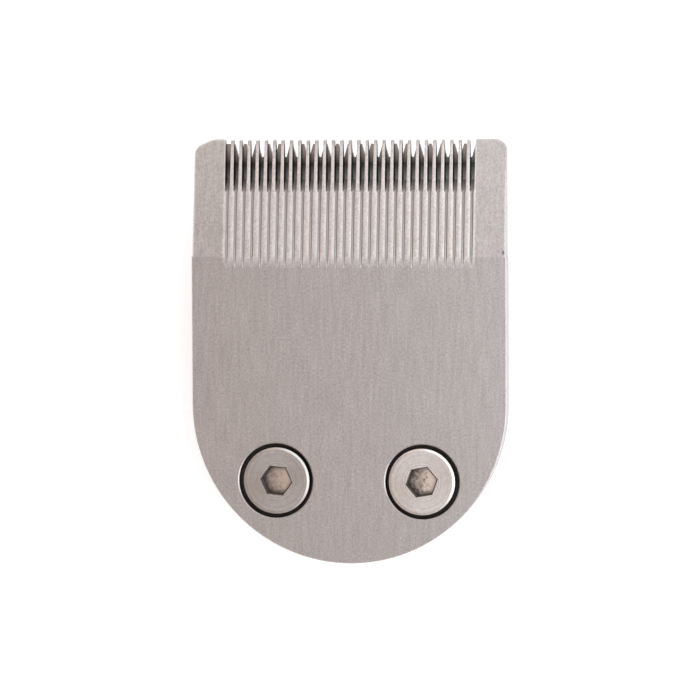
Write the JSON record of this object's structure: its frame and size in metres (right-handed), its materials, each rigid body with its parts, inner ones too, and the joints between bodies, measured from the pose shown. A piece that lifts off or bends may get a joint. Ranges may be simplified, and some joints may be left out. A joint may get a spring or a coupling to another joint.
{
  "type": "hair clipper blade",
  "caption": "Clip-on hair clipper blade set: steel comb plate with a round tail and ground teeth, a cutter sliding behind it, hexagon socket screws and a moulded carrier.",
  "frame": {"origin": "where the clipper's drive axis crosses the carrier's seating rim", "axes": "+X across the teeth, +Y towards the tooth tips, +Z out of the comb's skin side, -Z along the drive axis towards the clipper"},
  "size_m": [0.03, 0.0401, 0.009],
  "materials": {
    "comb_steel": "brushed along the teeth",
    "cutter_steel": "ground",
    "screw_steel": "turned",
    "spring_steel": "drawn wire",
    "carrier_plastic": "fine moulded grain",
    "follower_plastic": "smooth moulded",
    "insert_brass": "turned"
  },
  "bodies": {
    "fixed": {"comb_blade": "comb_steel", "blade_carrier": "carrier_plastic", "tension_spring": "spring_steel", "screw_left": "screw_steel", "screw_right": "screw_steel", "insert_left": "insert_brass", "insert_right": "insert_brass"},
    "cutter": {"cutter_blade": "cutter_steel", "drive_follower": "follower_plastic"}
  },
  "joints": [
    {"name": "cutter_stroke", "type": "slide", "parent": "fixed", "child": "cutter", "axis": [1, 0, 0], "range_m": [-0.0011, 0.0011]}
  ]
}
